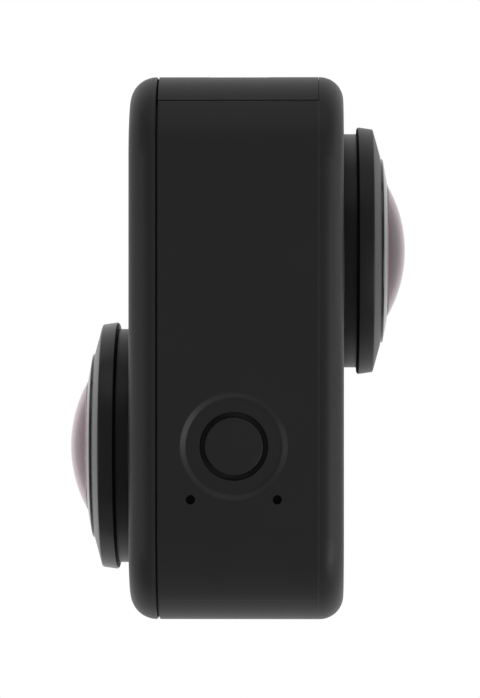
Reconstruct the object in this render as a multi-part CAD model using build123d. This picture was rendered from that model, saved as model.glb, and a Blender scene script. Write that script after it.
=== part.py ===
from build123d import *
import os

# A pocket camera with a wide lens on each of its two large faces. Millimetres, +Z up.
# The origin is the middle of the face that the camera stands on. The front lens looks along -Y,
# the rear lens and the touch screen face +Y, and the battery door is on the +X side.

# Casing
body_width = 64.0
body_height = 69.0
body_depth = 25.2
corner_radius = 10.0
front_edge_land = 0.1
rear_edge_land = 0.06
rear_crown_drop = 0.2
rear_crown_width = 8.6
wall = 1.8
front_frame_depth = 2.9
front_plate = 2.0
rear_cover_depth = 3.36
rear_plate = 1.96
seam_gap = 0.2
seam_chamfer = 0.12
gasket_inset = 0.6
gasket_width = 0.8
panel_inset = 3.6
panel_depth = 0.9
rib_pitch = 2.2
rib_groove = 0.8
rib_groove_depth = 0.3

# Clearances between pieces that fit, slide or swing, and the run of a cut past its surface
fit_gap = 0.05
slide_gap = 0.15
swing_gap = 0.1
overrun = 1.0

# An oblong button's end is all but a half circle
pill_round_share = 0.999

# Case screws and the columns that they pass through
screw_inset_x = 7.5
screw_inset_z = 6.2
screw_radius = 0.8
screw_head_radius = 1.5
screw_head_height = 0.9
screw_bite = 1.9
column_radius = 2.2
column_rib = 1.2

# Lenses, the same front and rear
lens_drop = 20.23
barrel_side_gap = 1.92
neck_foot_step = 0.25
neck_foot_height = 0.15
neck_wall = 1.5
neck_height = 1.7
ring_overhang = 0.8
ring_back_chamfer = 0.2
ring_taper = 0.25
ring_side = 1.95
ring_cone_gap = 0.3
ring_cone_height = 0.9
bezel_width = 1.25
bezel_step = 0.3
bezel_crown = 0.45
dome_lip = 1.65
dome_rim = 1.7
dome_rise = 2.3
dome_wall = 1.0
dome_hollow_rise = 2.2
flange_step = 1.1
flange_thickness = 1.0
front_bore_step = 1.3
front_bore_share = 67 / 190
front_bore_lip = 0.9
middle_bore_step = 1.1
middle_bore_share = 75 / 190
tail_bore_step = 0.2
sensor_bore_share = 0.734375
second_lens_rim = 1.8
second_lens_rise = 2.4
second_lens_wall = 1.7
second_lens_hollow_rise = 2.7
relay_lens_rim = 3.2
relay_lens_rise = 1.6
field_lens_rim = 1.9
field_lens_rise = 1.4
o_ring_step = 1.65
o_ring_thickness = 0.76
sensor_size = 6.4
sensor_thickness = 0.7
sensor_clearance = 1.7
sensor_board_gap = 1.8
sensor_board_size = 22.0
sensor_board_thickness = 1.0
sensor_board_radius = 1.5

# Touch screen
glass_border_x = 2.5
glass_border_z = 1.8
glass_lens_gap = 1.47
glass_thickness = 0.8
glass_low = 8.8
glass_radius = 2.5
glass_sunk = 0.04
screen_tape = 0.15
display_width = 41.0
display_thickness = 1.5

# Shutter button in the top, with two microphone holes beside it
shutter_inset = 20.65
controls_y = 0.15
dish_slope = 0.65
dish_floor_width = 1.62
dish_depth = 0.45
well_gap = 0.63
shutter_radius = 3.35
shutter_sunk = 0.3
shutter_edge = 0.2
shutter_travel = 0.5
shutter_flange_step = 0.52
shutter_flange = 0.85
shutter_stem_radius = 1.0
shutter_stem = 0.35
shutter_seal_depth = 1.0
shutter_seal_thickness = 0.5
switch_size = 5.2
switch_height = 1.7
plunger_radius = 0.8
plunger_height = 0.3
shutter_board_thickness = 0.8
shutter_board_width = 8.0
board_sensor_gap = 1.2
microphone_radius = 0.55
microphone_inset = 14.5
microphone_spacing = 10.04
microphone_width = 2.6
microphone_length = 3.5
microphone_height = 1.0

# Power and mode button in the -X side
mode_drop = 23.0
mode_length = 11.0
mode_width = 4.0
mode_sunk = 0.2
mode_edge = 0.2
mode_travel = 0.4
mode_seal_width = 0.5
mode_seal_depth = 0.7
mode_seal_thickness = 0.7
mode_dish_margin = 1.2
mode_dish_depth = 0.25
mode_flange_margin = 0.9
mode_flange = 0.75
mode_stem_radius = 1.2
mode_stem = 0.4
mode_board_thickness = 0.8
mode_board_height = 12.0

# Battery door in the +X side, with its hinge at the foot and its latch at the head
door_depth = 3.15
door_gap = 0.1
door_front_gap = 0.05
hinge_inset_x = 3.45
hinge_z = 4.5
knuckle_radius = 1.9
knuckle_width = 12.0
hinge_clearance = 0.15
hinge_pin_radius = 0.7
hinge_pin_gap = 0.03
hinge_pin_cover = 0.6
hinge_boss_depth = 2.45
side_recess_depth = 0.65
side_recess_foot = 0.85
side_recess_head = 2.6
side_recess_margin = 1.72
door_seal_width = 1.2
door_seal_sunk = 0.35
latch_drop = 11.6
latch_height = 6.0
latch_width = 6.4
latch_plate = 1.0
latch_sunk = 0.1
latch_travel = 1.6
latch_stem_width = 3.0
latch_stem_height = 1.8
latch_reach = 2.35
latch_groove = 0.5
latch_grooves = 4
latch_spring_radius = 0.55
latch_spring_wire = 0.24
latch_spring_length = 3.6
latch_spring_turns = 6
latch_spring_sides = 8

# Battery, memory card and charging port behind the door
battery_length = 40.0
battery_display_gap = 3.26
battery_gap = 0.2
battery_radius = 1.2
bay_wall = 0.8
bay_low = 8.6
contact_count = 3
contact_pitch = 4.0
contact_width = 1.6
contact_height = 5.0
contact_proud = 0.8
tab_width = 9.0
tab_height_share = 5 / 9
tab_thickness = 0.3
card_width = 11.0
card_length = 15.0
card_thickness = 0.8
card_travel = 0.7
card_proud = 0.95
socket_wall = 0.5
port_height = 3.2
port_width = 8.94
port_length = 8.0
port_shell = 0.3
port_depth = 6.5
port_tongue = 0.7
port_tongue_width = 6.7
port_tongue_length = 5.0
port_corner = 1.3
port_window_gap = 0.15
port_board_thickness = 0.8
port_board_rise = 3.4
port_barrel_gap = 1.12

# Boards, heat path, speaker and aerial
spreader_thickness = 0.7
spreader_inset_x = 10.5
spreader_low = 9.0
spreader_inset_z = 5.0
shield_height = 0.9
shield_width = 18.0
shield_length = 16.0
shield_x = -11.0
shield_z = 22.0
board_thickness = 1.0
board_inset = 2.4
board_low = 9.0
board_tab_low = 7.0
board_tab_width = 38.0
barrel_hole_gap = 0.45
flex_thickness = 0.2
flex_width = 8.0
sensor_flex_drop = 1.2
speaker_depth = 3.0
speaker_width = 10.0
speaker_height = 12.0
speaker_z = 22.0
speaker_hole_radius = 0.5
speaker_hole_pitch = 2.0
aerial_inset = 20.0
aerial_length = 15.0
aerial_width = 8.0
aerial_thickness = 0.8
lamp_radius = 0.75
lamp_inset = 12.0
lamp_drop = 9.5
lamp_sunk = 0.05

# Folding mounting fingers and the tray that they fold into
finger_thickness = 3.0
finger_gap = 3.1
tray_side_gap = 1.12
finger_hole_radius = 2.5
finger_reach = 9.7
finger_sunk = 0.1
finger_root_radius = 1.5
finger_pin_radius = 0.7
finger_pin_gap = 0.04
tray_gap = 0.25
tray_end_gap = 0.4
tray_wall = 0.8
tray_roof = 0.9
tray_ceiling_gap = 0.2

# Faces and levels that several pieces share
half_width = body_width / 2
half_depth = body_depth / 2
front_face = -half_depth
rear_face = half_depth
front_edge_radius = front_frame_depth - front_edge_land
rear_edge_radius = rear_cover_depth - rear_crown_drop - rear_edge_land
front_parting = front_face + front_frame_depth
rear_seam = rear_face - rear_cover_depth
housing_rear = rear_seam - seam_gap
housing_middle = (front_parting + housing_rear) / 2
front_plate_rear = front_face + front_plate
rear_plate_front = rear_face - rear_plate
door_inner = half_width - door_depth
side_outer = door_inner - door_gap
side_inner = side_outer - wall
side_recess_floor = side_outer - side_recess_depth
screw_x = half_width - screw_inset_x
screw_heights = (screw_inset_z, body_height - screw_inset_z)
top_inner = body_height - wall
board_front = front_plate_rear + spreader_thickness + shield_height
board_rear = board_front + board_thickness
sensor_bore_radius = sensor_size * sensor_bore_share
tail_bore_radius = sensor_bore_radius + tail_bore_step
middle_bore_radius = tail_bore_radius + middle_bore_step
front_bore_radius = middle_bore_radius + front_bore_step
second_lens_hollow_radius = front_bore_radius - second_lens_wall
dome_radius = front_bore_radius + front_bore_lip
dome_hollow_radius = dome_radius - dome_wall
barrel_radius = dome_radius + dome_lip
barrel_tail = -board_rear - sensor_board_thickness - sensor_board_gap
bezel_radius = barrel_radius + bezel_width
o_ring_radius = barrel_radius + o_ring_step
flange_radius = o_ring_radius + flange_step
neck_radius = flange_radius + neck_wall
neck_foot_radius = neck_radius + neck_foot_step
ring_back_radius = neck_radius + ring_overhang
ring_front_radius = ring_back_radius - ring_taper
ring_cone_radius = bezel_radius + ring_cone_gap
lens_offset = barrel_radius + barrel_side_gap
lens_z = body_height - lens_drop
ring_back = half_depth + neck_height
flange_front = ring_back + flange_thickness
ring_front = ring_back + ring_side + ring_cone_height
bezel_front = ring_front + bezel_step
dome_base = bezel_front + bezel_crown
dome_seat = dome_base - dome_rim
sensor_seat = sensor_thickness + sensor_clearance - barrel_tail
middle_seat = dome_seat - (dome_seat - sensor_seat) * front_bore_share
tail_seat = middle_seat - (dome_seat - sensor_seat) * middle_bore_share
glass_high = lens_z - ring_back_radius - glass_lens_gap
glass_width = display_width + 2 * glass_border_x
glass_height = glass_high - glass_low
display_height = glass_height - 2 * glass_border_z
display_back = rear_face - glass_sunk - glass_thickness - display_thickness
board_reach = barrel_tail - board_rear - board_sensor_gap
shutter_offset = half_width - shutter_inset
microphone_offset = half_width - microphone_inset
well_radius = shutter_radius + well_gap
dish_floor_radius = well_radius + dish_floor_width
dish_radius = dish_floor_radius + dish_slope
shutter_flange_radius = well_radius + shutter_flange_step
mode_height = body_height - mode_drop
lamp_x = half_width - lamp_inset
lamp_z = body_height - lamp_drop
aerial_x = half_width - aerial_inset
spreader_high = body_height - spreader_inset_z
hinge_x = half_width - hinge_inset_x
hinge_boss_x = side_inner - hinge_boss_depth
latch_z = body_height - latch_drop
finger_radius = (housing_rear - front_parting) / 2 - tray_side_gap - tray_wall - tray_gap
finger_pin_x = finger_gap / 2 + finger_thickness / 2
finger_pin_z = finger_sunk + finger_thickness / 2
tray_half_length = finger_pin_x + finger_reach + finger_radius + tray_end_gap
tray_half_width = finger_radius + tray_gap
tray_ceiling = finger_sunk + finger_thickness + tray_ceiling_gap


# Basic shapes
def block(x_low, x_high, y_low, y_high, z_low, z_high):
    middle = Pos((x_low + x_high) / 2, (y_low + y_high) / 2, (z_low + z_high) / 2)
    return middle * Box(x_high - x_low, y_high - y_low, z_high - z_low)


def outline(inset=0):
    width = body_width - 2 * inset
    height = body_height - 2 * inset
    return Pos(0, body_height / 2) * RectangleRounded(width, height, corner_radius - inset)


def slab(sketch, y_low, y_high):
    return extrude(Plane.XZ.offset(-y_high) * sketch, amount=y_high - y_low)


def rod_x(radius, y, z, x_low, x_high):
    return Pos((x_low + x_high) / 2, y, z) * Rot(0, 90, 0) * Cylinder(radius, x_high - x_low)


def rod_y(radius, x, z, y_low, y_high):
    return Pos(x, (y_low + y_high) / 2, z) * Rot(90, 0, 0) * Cylinder(radius, y_high - y_low)


def rod_z(radius, x, y, z_low, z_high):
    return Pos(x, y, (z_low + z_high) / 2) * Cylinder(radius, z_high - z_low)


def pill_x(length, width, y, z, x_low, x_high):
    sketch = RectangleRounded(width, length, width / 2 * pill_round_share)
    return extrude(Plane.YZ.offset(x_low) * Pos(y, z) * sketch, amount=x_high - x_low)


def turned(*points):
    corners = [(radius, 0, reach) for radius, reach in points]
    return revolve(make_face(Polyline(*corners, close=True)), axis=Axis.Z)


def cap_radius(base_radius, rise):
    return (base_radius ** 2 + rise ** 2) / (2 * rise)


# A lens whose rim stands on seat and whose outer face swells by rise above the rim
def lens_blank(radius, seat, rim, rise):
    sphere_radius = cap_radius(radius, rise)
    apex = seat + rim + rise
    sphere = Pos(0, 0, apex - sphere_radius) * Sphere(sphere_radius)
    return rod_z(radius, 0, 0, seat, apex + overrun) & sphere


def hollow_of(radius, seat, rise):
    sphere_radius = cap_radius(radius, rise)
    return Pos(0, 0, seat + rise - sphere_radius) * Sphere(sphere_radius)


# Casing
def screw_places():
    return [(side * screw_x, z) for side in (-1, 1) for z in screw_heights]


def door_side(x_low):
    return block(x_low, half_width + overrun, front_face - overrun, rear_face + overrun,
                 -overrun, body_height + overrun)


def housing_shell():
    shell = slab(outline(), front_parting, housing_rear)
    rim = shell.faces().sort_by(Axis.Y)[-1].edges()
    shell = chamfer(rim, seam_chamfer)
    shell -= door_side(side_outer)
    cavity = slab(outline(wall), front_parting - overrun, housing_rear + overrun)
    shell -= cavity - door_side(side_inner)
    for x, z in screw_places():
        side = 1 if x > 0 else -1
        end = side_inner if side > 0 else half_width - wall
        shell += rod_y(column_radius, x, z, front_parting, housing_rear)
        rib = sorted((x, side * (end + fit_gap)))
        shell += block(*rib, front_parting, housing_rear, z - column_rib / 2, z + column_rib / 2)
    boss = block(hinge_boss_x, side_outer, front_parting, housing_rear,
                 wall / 2, screw_inset_z + column_radius)
    shell += boss & slab(outline(wall / 2), front_parting, housing_rear)
    return shell


def hinge_rod(radius, y_low, y_high):
    return rod_y(radius, hinge_x, hinge_z, y_low, y_high)


def add_hinge_ears(shell):
    ears = hinge_rod(knuckle_radius, front_parting, housing_rear)
    shell += ears & slab(outline(), front_parting, housing_rear)
    reach = knuckle_width / 2 + swing_gap
    shell -= hinge_rod(knuckle_radius + hinge_clearance, housing_middle - reach, housing_middle + reach)
    shell -= hinge_rod(hinge_pin_radius + hinge_pin_gap,
                       front_parting + hinge_pin_cover, housing_rear - hinge_pin_cover)
    return shell


def cut_top_controls(shell):
    top = body_height + overrun
    spread = (dish_radius - dish_floor_radius) * overrun / dish_depth
    cone_height = dish_depth + overrun
    cone = Cone(dish_floor_radius, dish_radius + spread, cone_height)
    shell -= Pos(-shutter_offset, controls_y, body_height - dish_depth + cone_height / 2) * cone
    shell -= rod_z(well_radius, -shutter_offset, controls_y, top_inner - overrun, top)
    for y in microphone_rows():
        shell -= rod_z(microphone_radius, -microphone_offset, y, top_inner - overrun, top)
    return shell


def microphone_rows():
    return [controls_y + side * microphone_spacing / 2 for side in (-1, 1)]


def mode_pill(margin, x_low, x_high):
    return pill_x(mode_length + 2 * margin, mode_width + 2 * margin, housing_middle, mode_height,
                  x_low, x_high)


def speaker_hole_places():
    rows = (-1, 0, 1)
    return [(housing_middle + a * speaker_hole_pitch, speaker_z + b * speaker_hole_pitch)
            for a in rows for b in rows if (a + b) % 2 == 0]


def cut_mode_side(shell):
    outside = -half_width - overrun
    shell -= mode_pill(mode_seal_width + fit_gap, outside, -half_width + wall + overrun)
    shell -= mode_pill(mode_seal_width + mode_dish_margin, outside, -half_width + mode_dish_depth)
    for y, z in speaker_hole_places():
        shell -= rod_x(speaker_hole_radius, y, z, outside, -half_width + wall + overrun)
    return shell


def cut_door_side(shell):
    inside = side_inner - overrun
    outside = side_outer + overrun
    middle = housing_middle
    shell -= block(side_recess_floor, outside, middle - side_recess_half, middle + side_recess_half,
                   side_recess_low, side_recess_high)
    shell -= block(inside, outside, *bay_inner_y, *bay_inner_z)
    shell -= block(inside, outside, *card_window_y, *card_window_z)
    shell -= port_outline(port_window_gap, inside, outside)
    shell -= block(inside, outside, middle - latch_slot_half, middle + latch_slot_half, *latch_slot_z)
    return shell


def make_main_housing():
    shell = add_hinge_ears(housing_shell())
    shell = cut_top_controls(shell)
    shell = cut_mode_side(shell)
    shell = cut_door_side(shell)
    for x, z in screw_places():
        shell -= rod_y(screw_radius + slide_gap, x, z, front_parting - overrun, housing_rear + overrun)
    return shell - tray_block(fit_gap)


def lens_hole(radius, side, y_low, y_high):
    return rod_y(radius, side * lens_offset, lens_z, y_low, y_high)


def make_front_frame():
    shell = slab(outline(), front_face, front_parting)
    face = shell.faces().sort_by(Axis.Y)[0]
    shell = fillet(face.edges(), front_edge_radius)
    shell -= slab(outline(wall), front_plate_rear, front_parting + overrun)
    for x, z in screw_places():
        shell += rod_y(column_radius, x, z, front_plate_rear, front_parting)
    panel_seat = slab(outline(panel_inset), front_face - overrun, front_face + panel_depth)
    shell -= panel_seat - lens_hole(neck_foot_radius, 1, front_face - overrun, front_parting)
    shell -= lens_hole(barrel_radius + swing_gap, 1, front_face - overrun, front_parting)
    for x, z in screw_places():
        head_seat = front_face + panel_depth + screw_head_height
        shell -= rod_y(screw_head_radius + slide_gap, x, z, front_face, head_seat)
        shell -= rod_y(screw_radius + slide_gap, x, z, front_face, front_parting + overrun)
    return shell - lamp(front_face - overrun, front_parting, -lamp_x, fit_gap)


def make_front_panel():
    panel = slab(outline(panel_inset + fit_gap), front_face, front_face + panel_depth)
    panel -= lens_hole(neck_foot_radius + swing_gap, 1, front_face - overrun, front_parting)
    first = panel_inset + rib_pitch
    count = int((body_height - 2 * first) / rib_pitch) + 1
    for number in range(count):
        z = first + number * rib_pitch
        panel -= block(-half_width, half_width, front_face - overrun, front_face + rib_groove_depth,
                       z - rib_groove / 2, z + rib_groove / 2)
    return panel - lamp(front_face - overrun, front_parting, -lamp_x, fit_gap)


def crowned_block():
    crown_base = rear_face - rear_crown_drop
    base = slab(outline(), rear_seam, crown_base)
    low = Plane.XZ.offset(-crown_base) * outline()
    high = Plane.XZ.offset(-rear_face) * outline(rear_crown_width)
    solid = base + loft([low, high], ruled=True)
    ridge = solid.edges().filter_by_position(Axis.Y, crown_base, crown_base)
    solid = fillet(ridge, rear_edge_radius)
    rim = solid.faces().sort_by(Axis.Y)[0].edges()
    return chamfer(rim, seam_chamfer)


def glass_sketch(shrink=0):
    middle = Pos(0, glass_low + glass_height / 2)
    return middle * RectangleRounded(glass_width - 2 * shrink, glass_height - 2 * shrink,
                                     glass_radius - shrink)


def display_block(grow, y_low, y_high):
    middle = glass_low + glass_height / 2
    half = display_height / 2 + grow
    return block(-display_width / 2 - grow, display_width / 2 + grow, y_low, y_high,
                 middle - half, middle + half)


def make_rear_cover():
    shell = crowned_block()
    screw_bosses = [rod_y(column_radius, x, z, rear_seam, rear_plate_front) for x, z in screw_places()]
    hollow = slab(outline(wall), rear_seam - overrun, rear_plate_front)
    shell -= hollow
    for boss in screw_bosses:
        shell += boss
    for x, z in screw_places():
        shell -= rod_y(screw_radius + fit_gap, x, z, rear_seam - overrun, rear_seam + screw_bite + slide_gap)
    tape_seat = rear_face - glass_sunk - glass_thickness - screen_tape
    shell -= slab(glass_sketch(-fit_gap), tape_seat, rear_face + overrun)
    shell -= display_block(fit_gap, rear_seam, rear_face)
    shell -= lens_hole(barrel_radius + swing_gap, -1, rear_seam - overrun, rear_face + overrun)
    return shell - lamp(rear_seam, rear_face + overrun, lamp_x, fit_gap)


def make_cover_gasket():
    outer = slab(outline(gasket_inset), housing_rear, rear_seam) - door_side(side_outer - gasket_inset)
    inner_inset = gasket_inset + gasket_width
    return outer - (slab(outline(inner_inset), housing_rear, rear_seam) - door_side(side_outer - inner_inset))


def make_case_screws():
    screws = Part()
    head_seat = front_face + panel_depth + screw_head_height
    for x, z in screw_places():
        head = rod_y(screw_head_radius, x, z, front_face + panel_depth, head_seat)
        socket = Pos(x, front_face + panel_depth, z) * Rot(90, 0, 0) * extrude(
            RegularPolygon(screw_radius, 6), amount=screw_head_height, both=True)
        shaft = rod_y(screw_radius, x, z, head_seat - screw_head_height / 2, rear_seam + screw_bite)
        screws += (head + shaft) - (socket & rod_y(screw_radius, x, z, front_face,
                                                   head_seat - screw_head_height / 2))
    return screws


def lamp(y_low, y_high, x, gap=0):
    return rod_y(lamp_radius + gap, x, lamp_z, y_low, y_high)


# Touch screen, from the outside in
def make_screen():
    glass_face = rear_face - glass_sunk
    glass_back = glass_face - glass_thickness
    tape_back = glass_back - screen_tape
    glass = slab(glass_sketch(), glass_back, glass_face)
    tape = slab(glass_sketch(), tape_back, glass_back)
    tape -= display_block(fit_gap, tape_back - overrun, glass_back + overrun)
    display = display_block(0, display_back, glass_back)
    return {"touch_glass": glass, "screen_seal": tape, "display_panel": display}


# One lens unit about its own axis, with height zero at the middle of the body
def make_lens_unit():
    neck_bore = barrel_radius + swing_gap
    neck = turned((neck_bore, half_depth), (neck_foot_radius, half_depth),
                  (neck_foot_radius, half_depth + neck_foot_height),
                  (neck_radius, half_depth + neck_foot_height),
                  (neck_radius, ring_back), (neck_bore, ring_back))
    groove_half = o_ring_thickness / 2 + fit_gap
    groove_floor = ring_back - o_ring_thickness - fit_gap
    neck -= turned((o_ring_radius - groove_half, groove_floor), (o_ring_radius + groove_half, groove_floor),
                   (o_ring_radius + groove_half, ring_back + overrun),
                   (o_ring_radius - groove_half, ring_back + overrun))
    o_ring = Pos(0, 0, ring_back - fit_gap / 2 - o_ring_thickness / 2) * Torus(
        o_ring_radius, o_ring_thickness / 2)
    ring_bore = flange_radius + fit_gap
    lip = bezel_radius + swing_gap
    ring = turned((ring_bore, ring_back), (ring_back_radius - ring_back_chamfer, ring_back),
                  (ring_back_radius, ring_back + ring_back_chamfer),
                  (ring_front_radius, ring_back + ring_side), (ring_cone_radius, ring_front),
                  (lip, ring_front), (lip, flange_front), (ring_bore, flange_front))
    bezel = turned((barrel_radius + fit_gap, flange_front), (bezel_radius, flange_front),
                   (bezel_radius, bezel_front), (dome_radius + fit_gap, dome_base),
                   (dome_radius + fit_gap, dome_seat), (barrel_radius + fit_gap, dome_seat))
    barrel = turned((sensor_bore_radius, -barrel_tail), (barrel_radius, -barrel_tail),
                    (barrel_radius, ring_back), (flange_radius, ring_back),
                    (flange_radius, flange_front), (barrel_radius, flange_front),
                    (barrel_radius, dome_seat), (front_bore_radius, dome_seat),
                    (front_bore_radius, middle_seat), (middle_bore_radius, middle_seat),
                    (middle_bore_radius, tail_seat), (tail_bore_radius, tail_seat),
                    (tail_bore_radius, sensor_seat), (sensor_bore_radius, sensor_seat))
    dome = lens_blank(dome_radius, dome_seat, dome_rim, dome_rise)
    dome -= hollow_of(dome_hollow_radius, dome_seat, dome_hollow_rise)
    second = lens_blank(front_bore_radius - fit_gap, middle_seat, second_lens_rim, second_lens_rise)
    second -= hollow_of(second_lens_hollow_radius, middle_seat, second_lens_hollow_rise)
    relay = lens_blank(middle_bore_radius - fit_gap, tail_seat, relay_lens_rim, relay_lens_rise)
    field = lens_blank(tail_bore_radius - fit_gap, sensor_seat, field_lens_rim, field_lens_rise)
    sensor = block(-sensor_size / 2, sensor_size / 2, -sensor_size / 2, sensor_size / 2,
                   -barrel_tail, -barrel_tail + sensor_thickness)
    board_outline = RectangleRounded(sensor_board_size, sensor_board_size, sensor_board_radius)
    board = Pos(0, 0, -barrel_tail - sensor_board_thickness) * extrude(
        board_outline, amount=sensor_board_thickness)
    return {"lens_neck": neck, "lens_ring": ring, "lens_bezel": bezel, "lens_dome": dome,
            "lens_seal": o_ring, "lens_barrel": barrel, "second_lens": second,
            "inner_lenses": relay + field, "image_sensor": sensor, "sensor_board": board}


# Seals, sensors and sensor boards are bought in pairs, so each pair shares a name
def make_lenses():
    places = {"front": Pos(lens_offset, 0, lens_z) * Rot(90, 0, 0),
              "rear": Pos(-lens_offset, 0, lens_z) * Rot(-90, 0, 0)}
    shared = {"lens_seal": "lens_seals", "image_sensor": "image_sensors", "sensor_board": "sensor_boards"}
    lenses = {}
    for name, piece in make_lens_unit().items():
        placed = {side: place * piece for side, place in places.items()}
        if name in shared:
            lenses[shared[name]] = placed["front"] + placed["rear"]
        else:
            lenses.update({f"{side}_{name}": solid for side, solid in placed.items()})
    return lenses


# Shutter button: a disc in a shallow dish, a soft ring round it and a switch under it
def make_shutter():
    x, y = -shutter_offset, controls_y
    cap_top = body_height - shutter_sunk
    flange_top = top_inner - fit_gap
    flange_low = flange_top - shutter_flange
    stem_low = flange_low - shutter_stem
    cap = rod_z(shutter_radius, x, y, flange_low, cap_top)
    cap = chamfer(cap.faces().sort_by(Axis.Z)[-1].edges(), shutter_edge)
    button = cap + rod_z(shutter_flange_radius, x, y, flange_low, flange_top)
    button += rod_z(shutter_stem_radius, x, y, stem_low, flange_low + fit_gap)
    seal_top = body_height - shutter_seal_depth
    seal = rod_z(well_radius - fit_gap, x, y, seal_top - shutter_seal_thickness, seal_top)
    seal -= rod_z(shutter_radius + fit_gap, x, y, top_inner, body_height)
    plunger_top = stem_low - shutter_travel - fit_gap
    switch_top = plunger_top - plunger_height
    switch_low = switch_top - switch_height
    half = switch_size / 2
    switch = block(x - half, x + half, y - half, y + half, switch_low, switch_top)
    switch += rod_z(plunger_radius, x, y, switch_low, plunger_top)
    board = block(x - shutter_board_width / 2, x + shutter_board_width / 2, board_rear,
                  board_rear + board_reach, switch_low - shutter_board_thickness, switch_low)
    return {"shutter_button": button, "shutter_seal": seal, "shutter_switch": switch,
            "shutter_board": board}


def make_microphones():
    pair = Part()
    for y in microphone_rows():
        pair += block(-microphone_offset - microphone_width / 2, -microphone_offset + microphone_width / 2,
                      y - microphone_length / 2, y + microphone_length / 2,
                      top_inner - microphone_height, top_inner)
    return pair


# Power and mode button: an oblong cap in the side, its soft ring and its switch
def make_mode_button():
    side_face = -half_width
    inner = side_face + wall
    cap_face = side_face + mode_sunk
    flange_out = inner + fit_gap
    flange_in = flange_out + mode_flange
    stem_end = flange_in + mode_stem
    cap = mode_pill(0, cap_face, flange_in)
    cap = chamfer(cap.faces().sort_by(Axis.X)[0].edges(), mode_edge)
    button = cap + mode_pill(mode_flange_margin, flange_out, flange_in)
    button += rod_x(mode_stem_radius, housing_middle, mode_height, flange_in - fit_gap, stem_end)
    seal = mode_pill(mode_seal_width, side_face + mode_seal_depth,
                     side_face + mode_seal_depth + mode_seal_thickness)
    seal -= mode_pill(fit_gap, side_face, inner)
    plunger_end = stem_end + mode_travel + fit_gap
    switch_face = plunger_end + plunger_height
    switch_back = switch_face + switch_height
    half = switch_size / 2
    switch = block(switch_face, switch_back, housing_middle - half, housing_middle + half,
                   mode_height - half, mode_height + half)
    switch += rod_x(plunger_radius, housing_middle, mode_height, plunger_end, switch_back)
    board = block(switch_back, switch_back + mode_board_thickness, board_rear, board_rear + board_reach,
                  mode_height - mode_board_height / 2, mode_height + mode_board_height / 2)
    return {"mode_button": button, "mode_seal": seal, "mode_switch": switch, "mode_board": board}


# Battery door
door_front = front_parting + door_front_gap
door_rear = housing_rear
latch_stem_low = latch_z - latch_stem_height / 2
latch_stem_high = latch_z + latch_stem_height / 2
latch_slot_half = latch_stem_width / 2 + slide_gap
latch_slot_z = (latch_stem_low - latch_travel - slide_gap, latch_stem_high + 2 * slide_gap)
latch_pocket_floor = half_width - latch_sunk - latch_plate - swing_gap


def knuckle_band(grow):
    reach = knuckle_width / 2 + grow
    return housing_middle - reach, housing_middle + reach


def make_side_door():
    door = slab(outline(), door_front, door_rear) & door_side(door_inner)
    rim = hinge_rod(knuckle_radius + hinge_clearance, door_front - overrun, door_rear + overrun)
    band_low, band_high = knuckle_band(0)
    door -= rim - hinge_rod(knuckle_radius + overrun, band_low, band_high)
    knuckle = hinge_rod(knuckle_radius, band_low, band_high)
    door += knuckle & slab(outline(), door_front, door_rear)
    door -= hinge_rod(hinge_pin_radius + hinge_pin_gap, band_low - overrun, band_high + overrun)
    door -= seal_frame(fit_gap, door_inner - overrun, door_inner + door_seal_sunk)
    half = latch_width / 2 + slide_gap
    low = latch_z - latch_height / 2 - latch_travel - slide_gap
    high = latch_z + latch_height / 2 + slide_gap
    door -= block(latch_pocket_floor, half_width + overrun, housing_middle - half, housing_middle + half,
                  low, high)
    door -= block(door_inner - overrun, half_width, housing_middle - latch_slot_half,
                  housing_middle + latch_slot_half, *latch_slot_z)
    return door - spring_channel()


def seal_frame(grow, x_low, x_high):
    half = side_recess_half - slide_gap
    low = side_recess_low + slide_gap
    high = side_recess_high - slide_gap
    outer = block(x_low, x_high, housing_middle - half - grow, housing_middle + half + grow,
                  low - grow, high + grow)
    inset = door_seal_width + grow
    inner = block(x_low - overrun, x_high + overrun, housing_middle - half + inset,
                  housing_middle + half - inset, low + inset, high - inset)
    return outer - inner


def make_door_seal():
    return seal_frame(0, side_recess_floor + swing_gap, door_inner + door_seal_sunk)


def spring_channel():
    x = latch_spring_x
    half = latch_spring_radius + latch_spring_wire / 2 + swing_gap
    top = latch_slot_z[0] + overrun
    return block(x - half, x + half, housing_middle - half, housing_middle + half,
                 latch_spring_low - fit_gap, top)


latch_spring_x = (door_inner + latch_pocket_floor) / 2
latch_spring_low = latch_stem_low - latch_spring_length


def make_latch():
    plate_out = half_width - latch_sunk
    plate_in = plate_out - latch_plate
    half = latch_width / 2
    low = latch_z - latch_height / 2
    plate = block(plate_in, plate_out, housing_middle - half, housing_middle + half,
                  low, low + latch_height)
    pitch = latch_height / (latch_grooves + 1)
    for number in range(latch_grooves):
        z = low + (number + 1) * pitch
        plate -= block(plate_out - latch_groove / 2, plate_out + overrun,
                       housing_middle - half + latch_groove, housing_middle + half - latch_groove,
                       z - latch_groove / 2, z + latch_groove / 2)
    stem_half = latch_stem_width / 2
    stem = block(side_outer - latch_reach, plate_in + fit_gap, housing_middle - stem_half,
                 housing_middle + stem_half, latch_stem_low, latch_stem_high)
    return plate + stem


# Spring of fine wire, drawn with flats round it
def make_latch_spring():
    coil_height = latch_spring_length - latch_spring_wire
    pitch = coil_height / latch_spring_turns
    path = Helix(pitch=pitch, height=coil_height, radius=latch_spring_radius)
    start = path @ 0
    section = Plane(origin=start, z_dir=path % 0) * RegularPolygon(latch_spring_wire / 2, latch_spring_sides)
    coil = sweep(section, path=path, is_frenet=True)
    low = latch_spring_low + latch_spring_wire / 2
    return Pos(latch_spring_x, housing_middle, low) * coil


def make_hinge_pin():
    cover = hinge_pin_cover + fit_gap
    return hinge_rod(hinge_pin_radius, front_parting + cover, housing_rear - cover)


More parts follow.
